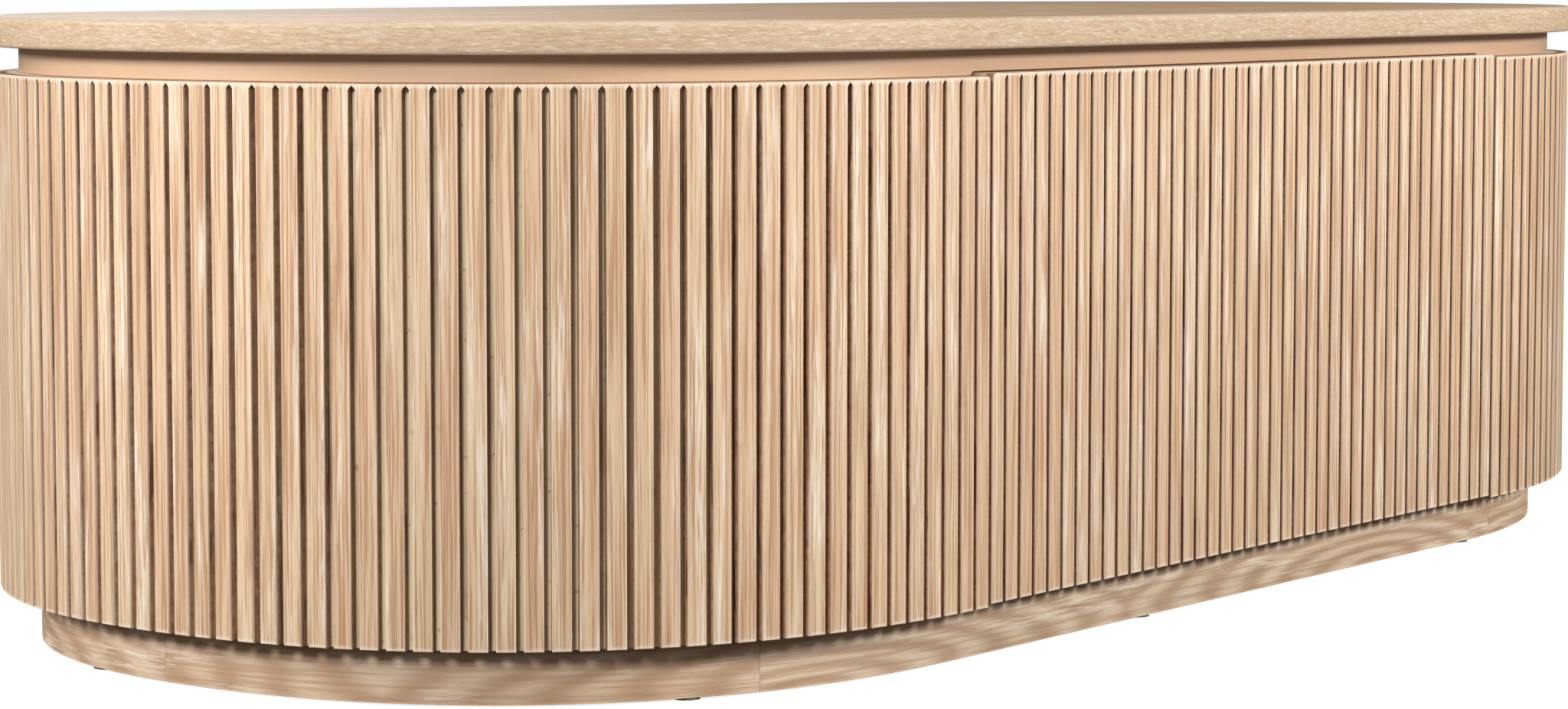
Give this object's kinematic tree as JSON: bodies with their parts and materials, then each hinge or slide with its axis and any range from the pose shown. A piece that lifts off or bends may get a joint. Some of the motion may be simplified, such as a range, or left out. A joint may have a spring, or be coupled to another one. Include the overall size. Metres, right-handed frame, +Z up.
{
  "type": "media cabinet",
  "caption": "Low oval media cabinet with a fluted oak skin, a wide drop-down flap on friction stays, a shelf, rear cable outlets and a recessed plinth.",
  "frame": {"origin": "centre of the footprint on the floor", "axes": "+X along the cabinet's length, to the right as seen from the front; the front with the flap faces -Y; +Z up"},
  "size_m": [1.583, 0.759, 0.445],
  "materials": {
    "fluted_oak": "limed light oak slats, satin",
    "top_oak": "limed light oak veneer, satin",
    "lacquered_frieze": "smooth tan lacquer",
    "plinth_oak": "smooth figured wood, satin",
    "inner_board": "veneered board, matt",
    "steel": "zinc plated",
    "black_plastic": "fine textured",
    "grey_nylon": "moulded nylon"
  },
  "bodies": {
    "cabinet": {"tabletop": "top_oak", "top_deck": "lacquered_frieze", "base_board": "inner_board", "left_end_panel": "fluted_oak", "right_end_panel": "fluted_oak", "back_panel": "fluted_oak", "left_divider": "inner_board", "right_divider": "inner_board", "left_end_rib": "inner_board", "right_end_rib": "inner_board", "shelf": "inner_board", "shelf_pin_left_front": "steel", "shelf_pin_left_back": "steel", "shelf_pin_right_front": "steel", "shelf_pin_right_back": "steel", "plinth_left_front": "plinth_oak", "plinth_front": "plinth_oak", "plinth_right_front": "plinth_oak", "plinth_right_back": "plinth_oak", "plinth_back": "plinth_oak", "plinth_left_back": "plinth_oak", "plinth_rail_1": "inner_board", "plinth_rail_2": "inner_board", "plinth_rail_3": "inner_board", "glide_1": "grey_nylon", "glide_2": "grey_nylon", "glide_3": "grey_nylon", "glide_4": "grey_nylon", "glide_5": "grey_nylon", "glide_6": "grey_nylon", "glide_7": "grey_nylon", "glide_8": "grey_nylon", "top_screw_1": "steel", "top_screw_2": "steel", "top_screw_3": "steel", "top_screw_4": "steel", "top_screw_5": "steel", "top_screw_6": "steel", "hinge_base_leaf": "steel", "hinge_pin": "steel", "left_latch_body": "black_plastic", "right_latch_body": "black_plastic", "left_stay_side_bracket": "steel", "right_stay_side_bracket": "steel", "left_cable_grommet": "black_plastic", "right_cable_grommet": "black_plastic"},
    "flap": {"flap_door": "fluted_oak", "hinge_flap_leaf": "steel", "left_strike_plate": "steel", "right_strike_plate": "steel", "left_stay_flap_bracket": "steel", "right_stay_flap_bracket": "steel"},
    "left_stay_arm": {"left_stay_arm": "steel"},
    "left_stay_clutch": {"left_stay_clutch": "black_plastic"},
    "left_latch_plunger": {"left_latch_plunger": "grey_nylon"},
    "right_stay_arm": {"right_stay_arm": "steel"},
    "right_stay_clutch": {"right_stay_clutch": "black_plastic"},
    "right_latch_plunger": {"right_latch_plunger": "grey_nylon"}
  },
  "joints": [
    {"name": "flap_hinge", "type": "hinge", "parent": "cabinet", "child": "flap", "pos_m": [0, -0.3523, 0.0402], "axis": [1, 0, 0], "range_deg": [0, 90]},
    {"name": "left_stay_arm_pivot", "type": "hinge", "parent": "flap", "child": "left_stay_arm", "pos_m": [0, -0.3403, 0.1902], "axis": [1, 0, 0], "range_deg": [-45, 0]},
    {"name": "left_stay_clutch_pivot", "type": "hinge", "parent": "cabinet", "child": "left_stay_clutch", "pos_m": [0, -0.28972, 0.17705], "axis": [1, 0, 0], "range_deg": [0, 45]},
    {"name": "left_latch_press", "type": "slide", "parent": "cabinet", "child": "left_latch_plunger", "axis": [0, 1, 0], "range_m": [0, 0.003], "stiffness_N_per_m": 400, "springref_m": -0.01},
    {"name": "right_stay_arm_pivot", "type": "hinge", "parent": "flap", "child": "right_stay_arm", "pos_m": [0, -0.3403, 0.1902], "axis": [1, 0, 0], "range_deg": [-45, 0]},
    {"name": "right_stay_clutch_pivot", "type": "hinge", "parent": "cabinet", "child": "right_stay_clutch", "pos_m": [0, -0.28972, 0.17705], "axis": [1, 0, 0], "range_deg": [0, 45]},
    {"name": "right_latch_press", "type": "slide", "parent": "cabinet", "child": "right_latch_plunger", "axis": [0, 1, 0], "range_m": [0, 0.003], "stiffness_N_per_m": 400, "springref_m": -0.01}
  ],
  "couplings": [
    {"joint": "left_stay_arm_pivot", "follows": "flap_hinge", "ratio": -0.5},
    {"joint": "left_stay_clutch_pivot", "follows": "flap_hinge", "ratio": 0.5},
    {"joint": "right_stay_arm_pivot", "follows": "flap_hinge", "ratio": -0.5},
    {"joint": "right_stay_clutch_pivot", "follows": "flap_hinge", "ratio": 0.5}
  ]
}
